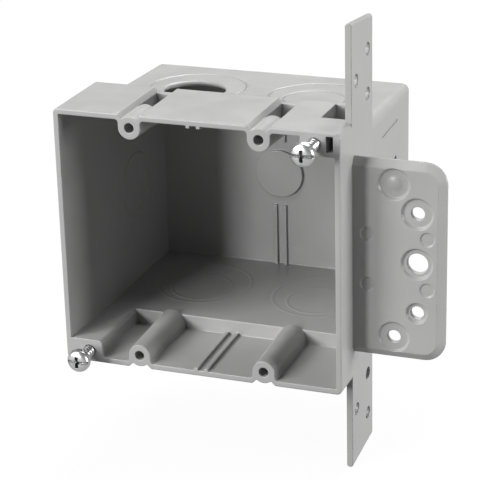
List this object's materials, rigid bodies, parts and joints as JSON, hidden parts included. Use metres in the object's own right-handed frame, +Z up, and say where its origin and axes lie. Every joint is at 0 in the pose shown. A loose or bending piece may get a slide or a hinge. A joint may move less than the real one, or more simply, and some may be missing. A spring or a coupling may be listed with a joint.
{
  "type": "two-gang electrical box",
  "caption": "Grey moulded wall box for two wiring devices side by side, with screw bosses, knockouts, a stud strap, a stud flange and corner cover screws.",
  "frame": {"origin": "middle of the four device screw holes, on the front plane of the rim", "axes": "+X to the right seen from the front, towards the stud flange; +Y into the box, from the open front to the back wall; +Z up along the strap"},
  "size_m": [0.1342, 0.0998, 0.159],
  "materials": {
    "grey_plastic": "moulded satin grey",
    "zinc_steel": "bright zinc plate"
  },
  "bodies": {
    "box": {"moulded_box": "grey_plastic"},
    "upper_screw": {"cover_screw_upper": "zinc_steel"},
    "lower_screw": {"cover_screw_lower": "zinc_steel"}
  },
  "joints": [
    {"name": "upper_screw_drive", "type": "slide", "parent": "box", "child": "upper_screw", "axis": [0, 1, 0], "range_m": [-0.006, 0.0103]},
    {"name": "lower_screw_drive", "type": "slide", "parent": "box", "child": "lower_screw", "axis": [0, 1, 0], "range_m": [-0.006, 0.0081]}
  ]
}
